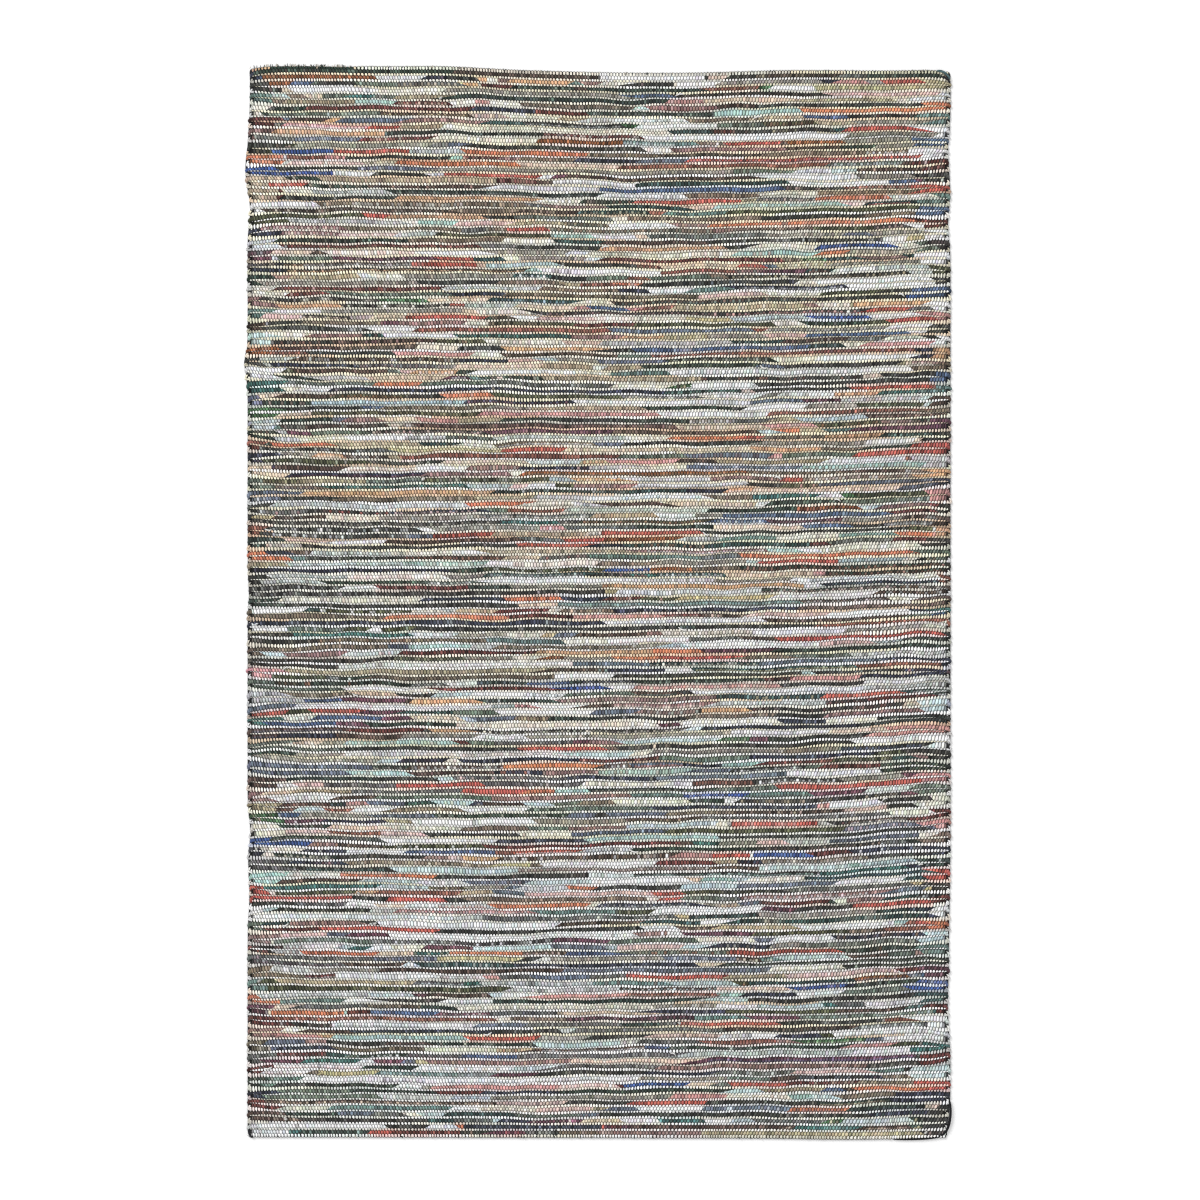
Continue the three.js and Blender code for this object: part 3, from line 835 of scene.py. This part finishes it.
    # The maps. One counts beads and ribs. The other lays the faces out on a page for baking colours: the top
    # in two halves, then the far face and the four walls below them, and the caps in a corner.
    page = 0.012 + 0.976 * np.arange(BEADS + 1) / BEADS
    low_page = 0.012 + 0.976 * low_columns / (COLUMNS - 1)
    along_page = np.linspace(0.012, 0.980, rows)
    halves = [cell_map(page, np.linspace(*ends, rows)) for ends in ((0.985, 0.645), (0.632, 0.292))]
    weave = [cell_map(column / 2, shown), cell_map(low_columns / 2, shown)[:, :, ::-1]]
    bake = [np.concatenate(halves, axis=1), cell_map(low_page, np.linspace(0.280, 0.045, rows))[:, :, ::-1]]
    beyond = BEADS + 0.5
    wall_maps = ((0, -0.5, 0.038), (-0.5, 0, 0.030), (beyond, BEADS, 0.022), (BEADS, beyond, 0.014))
    for from_u, to_u, top_v in wall_maps:
        low_v = top_v - 0.007
        weave.append(cells_between(*(np.stack([np.full(rows, u), shown], -1) for u in (from_u, to_u))))
        bake.append(cells_between(*(np.stack([along_page, np.full(rows, v)], -1) for v in (top_v, low_v))))
    angle = np.arange(caps) * 2 * np.pi / far_cap.shape[1]
    weave.append(np.zeros((caps, 2)))
    bake.append(np.stack([0.991 + 0.004 * np.cos(angle), 0.015 + 0.008 * np.sin(angle)], -1))
    maps = {"weave": weave, "OFBake": bake}
    maps = {key: np.concatenate([part.reshape(-1, 2) for part in parts]) for key, parts in maps.items()}
    return points, faces, maps, colours, flat, float(y[0].mean() - y[-1].mean())


weave_material = weave_finish()
cuts = np.round(np.linspace(0, RIBS, STRETCHES + 1)).astype(int) * 4 + 1
cuts[0], cuts[-1] = 0, LINES - 1
stretches = []
for number, (first, last) in enumerate(zip(cuts[:-1], cuts[1:]), 1):
    points, faces, maps, colours, flat, reach = woven_stretch(first, last)
    piece = mesh_piece(f"woven_cloth_{number}", points, faces, weave_material, maps, colours, flat)
    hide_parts("rug")
    stretches.append((piece, reach))

# The selvedges. A rag strip turns from one rib into the next, and the hemp beside it turns with it: from the
# pick below those two ribs it dives under the strip's loop to the pick between them. Beside each such pair of
# turns is a small hole, and its darkness is painted as shade on the turns and cells beside it.
TURN_STEPS, TURN_SIDES = 8, 6
RAG_TURN, HEMP_TURN = 0.0027, 0.0017  # radii of the turning yarns
TURN_START = 0.0045  # how far inside the outermost bead a turn begins
TURN_UNEVEN = 0.0009
TURN_PAINTED_SHADES = np.array([1, 1, 1, 1, 0.9, 0.6, 0.12, 0.04])  # painted shade: a rag turn darkens as it goes into the hole


def turned_yarn_finish():
    """Twisted yarn or a rolled strip. Grooves run round it at a slant, and between two of them a ply bulges
    by 1 less the square of the distance from its middle. Fine fibres cover it."""
    finish = Finish("turned_yarn", **YARN)
    weave, along, round_it = weave_map(finish)
    ply = ((along * 2.5 + round_it * 2).math("FRACT")) * 2 - 1
    hump = 1 - ply * ply
    fibre = fibres(finish, weave, 4.0, 14.0)
    yarn = finish.add("ShaderNodeAttribute", {"attribute_name": "yarn"}, output="Color")
    # Painted shade: the colour darkens from each ply's middle towards the grooves.
    colour = finish.scaled(yarn, (0.45 + hump * 0.5) * (0.8 + fibre * 0.4))
    relief = {"Height": hump + fibre * 0.3, "Distance": 0.0007, "Strength": 0.7}
    bump = finish.add("ShaderNodeBump", {}, relief)
    return finish.surface(Base_Color=colour, Normal=bump)


def tubes(paths, radii):
    """Round tubes with closed ends along many paths at once. Each ring stands square to its path, with one
    axis level and the other upright: to the path's point it adds the radius times the cosine of an angle
    along the level axis and times its sine along the upright one. Gives points, faces and the two maps."""
    count, rings = paths.shape[:2]
    ahead = np.gradient(paths, axis=1)
    level = np.stack([-ahead[..., 1], ahead[..., 0], np.zeros((count, rings))], -1)
    level /= np.linalg.norm(level, axis=-1, keepdims=True)
    upright = np.cross(ahead, level)
    upright /= np.linalg.norm(upright, axis=-1, keepdims=True)
    angle = np.arange(TURN_SIDES) * 2 * np.pi / TURN_SIDES
    spokes = level[:, :, None] * np.cos(angle)[:, None] + upright[:, :, None] * np.sin(angle)[:, None]
    points = paths[:, :, None] + radii[:, :, None, None] * spokes
    at = np.arange(count * rings * TURN_SIDES).reshape(count, rings, TURN_SIDES)
    beside = np.roll(at, -1, axis=2)
    skin = np.stack([at[:, :-1], beside[:, :-1], beside[:, 1:], at[:, 1:]], -1).reshape(-1, 4)
    ends = np.concatenate([at[:, 0, ::-1], at[:, -1]])
    ring, side = np.arange(rings - 1.0), np.arange(TURN_SIDES, dtype=float)
    corner_u = np.stack([ring, ring, ring + 1, ring + 1], -1)[:, None] / (rings - 1)
    corner_v = np.stack([side, side + 1, side + 1, side], -1)[None] / TURN_SIDES
    local = np.stack(np.broadcast_arrays(corner_u, corner_v), -1)
    local = np.broadcast_to(local, (count, *local.shape))
    across = int(np.ceil(np.sqrt(count)))
    home = np.stack([np.arange(count) % across, np.arange(count) // across], -1) / across
    skin_bake = home[:, None, None, None] + (0.06 + local * (0.88, 0.76)) / across
    spot = 0.5 + 0.5 * np.stack([np.cos(angle), np.sin(angle)], -1)
    end_bake = (home[:, None] + (np.array([0.08, 0.86]) + spot * (0.3, 0.1)) / across).reshape(-1, 2)
    maps = {
        "weave": np.concatenate([local.reshape(-1, 2), np.zeros((2 * len(end_bake), 2))]),
        "OFBake": np.concatenate([skin_bake.reshape(-1, 2), end_bake, end_bake + [0.4 / across, 0]]),
    }
    return points.reshape(-1, 3), [skin, ends], maps


def tube_colours(colours, shades):
    """Each tube's colour times the shade of each of its lengths, for the corners of its skin and its ends."""
    skin = np.repeat((colours[:, None] * shades[..., None]).reshape(-1, 3), TURN_SIDES * 4, axis=0)
    ends = np.tile(np.repeat(colours, TURN_SIDES, axis=0), (2, 1))
    return np.pad(np.concatenate([skin, ends]), ((0, 0), (0, 1)), constant_values=1.0)


turn_material = turned_yarn_finish()
turn_pieces = []
for side, name in ((-1, "left_turns"), (1, "right_turns")):
    edge = 0 if side < 0 else COLUMNS - 1
    rag_first = np.arange(0 if side < 0 else 1, RIBS - 1, 2)
    hemp_first = np.arange(1 if side < 0 else 0, RIBS, 2)
    is_hemp = np.repeat([False, True], [len(rag_first), len(hemp_first)])[:, None]
    begin = np.concatenate([4 * rag_first + 2, 4 * hemp_first + 4])
    end = np.where(is_hemp[:, 0], begin - 4, begin + 4)
    thickness = np.clip(rag_width[rag_first, edge] / RAG, 0.8, 1.25)
    radius = np.concatenate([RAG_TURN * thickness, np.full(len(hemp_first), HEMP_TURN)])
    radius *= rng.normal(1.0, 0.06, len(begin))
    reach = np.abs(selvedge(side, line_y[(begin + end) // 2])) + rng.normal(0, TURN_UNEVEN, len(begin))
    outward = side * reach + shift_x
    turn = np.linspace(0, 1, TURN_STEPS + 1)
    sweep = np.sin(np.pi * turn) ** 0.7
    inward = cloth_x[begin, edge] - side * TURN_START
    x = inward[:, None] + (outward - side * radius - inward)[:, None] * sweep
    rag_share, hemp_share = 0.43 * (1 - np.cos(np.pi * turn)), np.clip((turn - 0.35) / 0.65, 0, 1) ** 1.5
    share = np.where(is_hemp, hemp_share, rag_share)
    from_y, to_y = cloth_y[begin, edge][:, None], cloth_y[end, edge][:, None]
    y = from_y + (to_y - from_y) * share - 0.0006 * is_hemp
    z = np.where(is_hemp, 0.0056 - 0.0040 * turn, 0.0052 - 0.0012 * turn)
    z = np.maximum(z, radius[:, None] + 0.0002)
    taper = np.where(is_hemp, 1.0, 1 - 0.3 * np.clip((turn - 0.55) / 0.3, 0, 1))
    points, faces, maps = tubes(np.stack([x, y, z], -1), radius[:, None] * taper)
    last_bead = 0 if side < 0 else -1
    # Painted shade: the turning yarns are a little darker than the picks, where they turn down at the edge.
    yarns = [0.8 * rag_upper[rag_first, last_bead], 0.95 * hemp_colours[hemp_first + 1, last_bead]]
    yarns = np.concatenate(yarns)
    colours = {"yarn": tube_colours(yarns, np.where(is_hemp, 1.0, TURN_PAINTED_SHADES))}
    turn_pieces.append(mesh_piece(name, points, faces, turn_material, maps, colours))

# Loose ends. Where one strip stops and the next begins, some tips stand out of the weave, and a few are
# knotted or bent to a hook. Warp ends stick out like whiskers at both ends of the rug, mostly far left.
END_RINGS = 5
TIPS, KNOTS, HOOKS = 190, 16, 34  # the knots and the hooks are among the tips
TIP_TAPER = np.array([0.9, 1.1, 1.0, 0.8, 0.35])
KNOT_TAPER, HOOK_TAPER = np.array([0.5, 1.0, 1.1, 1.0, 0.5]), np.array([0.6, 1.0, 1.1, 1.0, 0.5])
TIP_HEIGHT, KNOT_LENGTH = 0.0072, 0.005
KNOT_TINT, HOOK_TINT = (1.0, 0.98, 0.93), (1.0, 0.99, 0.96)
WHISKERS, THICK_ROW = 230, 60  # the first of them stand in the thick row
WHISKER_ROW = (250, 352)  # pixel columns of the photograph where the whiskers are thick
THICK_LENGTHS, THIN_LENGTHS = (0.0008, 0.0034), (0.0006, 0.0022)
WHISKER_TAPER = np.array([1.0, 1.0, 0.9, 0.75, 0.35])
PALE_WARP, DARK_WARP = (0.72, 0.66, 0.54), (0.04, 0.06, 0.05)
along_end = np.linspace(0, 1, END_RINGS)
tip_rib, tip_bead = rng.integers(0, RIBS, TIPS), rng.integers(3, BEADS - 3, TIPS)
nearest_join = joins[np.searchsorted(joins, tip_rib * PICK_BEADS + tip_bead).clip(0, joins.size - 1)]
tip_rib, in_pick = np.divmod(nearest_join, PICK_BEADS)
tip_bead = np.clip(np.where(tip_rib % 2 == 0, BEADS - in_pick, in_pick), 3, BEADS - 3)
tip_way, tip_side = rng.choice((-1, 1), (2, TIPS))
tip_x, tip_y = (grid[4 * tip_rib + 2, 2 * tip_bead][:, None] for grid in (cloth_x, cloth_y))
tip_x = tip_x + (tip_way * rng.uniform(0.004, 0.013, TIPS))[:, None] * along_end
tip_y = tip_y + (tip_side * rng.uniform(0.001, 0.005, TIPS))[:, None] * along_end**1.5
tip_z = TIP_HEIGHT + 0.0022 * np.sin(np.pi * (0.15 + 0.75 * along_end)) + np.zeros((TIPS, 1))
tip_radius = rng.uniform(0.0009, 0.0017, TIPS)[:, None] * TIP_TAPER
tip_radius[:KNOTS] = rng.uniform(0.0017, 0.0025, KNOTS)[:, None] * KNOT_TAPER
tip_x[:KNOTS] = tip_x[:KNOTS, :1] + tip_way[:KNOTS, None] * KNOT_LENGTH * along_end
tip_colours = strip_colours[strip_of[nearest_join]] * rng.uniform(0.7, 1.15, (TIPS, 1))
tip_colours[:KNOTS] = rng.uniform(0.5, 0.85, (KNOTS, 1)) * KNOT_TINT
hook = slice(KNOTS, KNOTS + HOOKS)
tip_x[hook] = tip_x[hook, :1] + (tip_way[hook] * rng.uniform(0.008, 0.015, HOOKS))[:, None] * along_end
bend = np.sin(0.8 * np.pi * along_end)
tip_y[hook] = tip_y[hook, :1] + (tip_side[hook] * rng.uniform(0.003, 0.006, HOOKS))[:, None] * bend
tip_radius[hook] = rng.uniform(0.0011, 0.0016, HOOKS)[:, None] * HOOK_TAPER
tip_colours[hook] = rng.uniform(0.8, 0.95, (HOOKS, 1)) * HOOK_TINT

others = WHISKERS - THICK_ROW
row_x = [from_photo(pixel_column, 0)[0] for pixel_column in WHISKER_ROW]
whisker_x = np.concatenate([rng.uniform(*row_x, THICK_ROW), rng.uniform(-0.59, 0.59, others)])
whisker_far = np.concatenate([np.ones(THICK_ROW), rng.choice((1, -1), others, p=(0.7, 0.3))])
whisker_length = np.concatenate([rng.uniform(*THICK_LENGTHS, THICK_ROW), rng.uniform(*THIN_LENGTHS, others)])
whisker_column = np.clip(np.round((whisker_x / WIDTH + 0.5) * (COLUMNS - 1)).astype(int), 2, COLUMNS - 3)
root_y = np.where(whisker_far > 0, cloth_y[0, whisker_column] + 0.0012, cloth_y[-1, whisker_column] - 0.0012)
whisker_y = root_y[:, None] + (whisker_far * (0.003 + whisker_length))[:, None] * (along_end - 0.1)
whisker_x = whisker_x[:, None] + rng.normal(0, 0.0010, WHISKERS)[:, None] * along_end**1.5
whisker_z = 0.0066 - 0.0030 * along_end**2 + rng.uniform(-0.0006, 0.0006, (WHISKERS, 1))
whisker_radius = rng.uniform(0.00045, 0.0008, WHISKERS)[:, None] * WHISKER_TAPER
pale_whisker = rng.random((WHISKERS, 1)) < 0.55
whisker_colours = np.where(pale_whisker, PALE_WARP, DARK_WARP) * rng.uniform(0.7, 1.1, (WHISKERS, 1))
end_paths = [np.stack([tip_x, tip_y, tip_z], -1), np.stack([whisker_x, whisker_y, whisker_z], -1)]
points, faces, maps = tubes(np.concatenate(end_paths), np.concatenate([tip_radius, whisker_radius]))
end_colours = np.concatenate([tip_colours, whisker_colours])
colours = {"yarn": tube_colours(end_colours, np.ones((len(end_colours), END_RINGS - 1)))}
turn_pieces.append(mesh_piece("loose_ends", points, faces, turn_material, maps, colours))

# Five strips leave the weave. A black one goes round the near right corner and up the selvedge, a dark
# blue-green one is folded over the far right corner with a black one below it, a black one lies round the
# near left corner, and a black end across the last picks is painted shade in a notch there.
CORNER_STRIPS = (  # radius, colour, and a course of pixel column, pixel row and height in metres
    (0.0022, (0.010, 0.010, 0.012), (
        (890, 1138.8, 0.0040), (912, 1138.8, 0.0042), (931, 1137.8, 0.0044), (941, 1135.6, 0.0050),
        (947, 1130, 0.0062), (949.9, 1120, 0.0070), (950.4, 1107, 0.0072), (948.6, 1098, 0.0066))),
    (0.0021, (0.085, 0.150, 0.160), (
        (936, 71.6, 0.0052), (938.5, 71.4, 0.0064), (941, 71.8, 0.0072), (943.3, 72.8, 0.0076),
        (945.4, 74.2, 0.0076), (947.2, 75.9, 0.0074), (948.6, 77.9, 0.0068), (949.6, 80.4, 0.0056))),
    (0.0019, (0.016, 0.016, 0.020), (
        (942, 76.9, 0.0062), (943.4, 77.6, 0.0072), (944.8, 78.4, 0.0076), (946.1, 79.2, 0.0076),
        (947.3, 80.1, 0.0074), (948.3, 81.2, 0.0070), (949.1, 82.5, 0.0064), (949.6, 84, 0.0056))),
    (0.0022, (0.018, 0.018, 0.022), (
        (249.6, 1127.5, 0.0052), (249.4, 1129, 0.0058), (249.4, 1130.5, 0.0062), (249.6, 1132, 0.0064),
        (250, 1133.4, 0.0064), (250.7, 1134.8, 0.0062), (251.8, 1136, 0.0058), (253.4, 1137, 0.0050))),
    # painted shade: a black end in place of the dark notch across the last picks
    (0.0010, (0.012, 0.012, 0.012), (
        (555, 1128, 0.0062), (555.2, 1129, 0.0074), (555.4, 1130, 0.0080), (555.5, 1131, 0.0084),
        (555.5, 1132, 0.0084), (555.5, 1133, 0.0080), (555.6, 1134, 0.0074), (555.6, 1135.5, 0.0060))),
)
STRIP_RINGS = 22
courses = np.array([[(*from_photo(*at), height) for *at, height in course] for _, _, course in CORNER_STRIPS])
fine = np.linspace(0, courses.shape[1] - 1, STRIP_RINGS)
low_ring = np.minimum(fine.astype(int), courses.shape[1] - 2)
past = (fine - low_ring)[:, None]
strip_paths = blurred(courses[:, low_ring] * (1 - past) + courses[:, low_ring + 1] * past, 1.2, 1)
strip_radii = np.array([[radius] for radius, _, _ in CORNER_STRIPS])
strip_taper = 1 - 0.5 * np.abs(np.linspace(-1, 1, STRIP_RINGS)) ** 6
points, faces, maps = tubes(strip_paths, strip_radii * strip_taper)
corner_colours = np.array([colour for _, colour, _ in CORNER_STRIPS])
colours = {"yarn": tube_colours(corner_colours, np.ones((len(CORNER_STRIPS), STRIP_RINGS - 1)))}
turn_pieces.append(mesh_piece("corner_strips", points, faces, turn_material, maps, colours))

for number, (piece, reach) in enumerate(stretches):
    own = turn_pieces if number == 0 else []
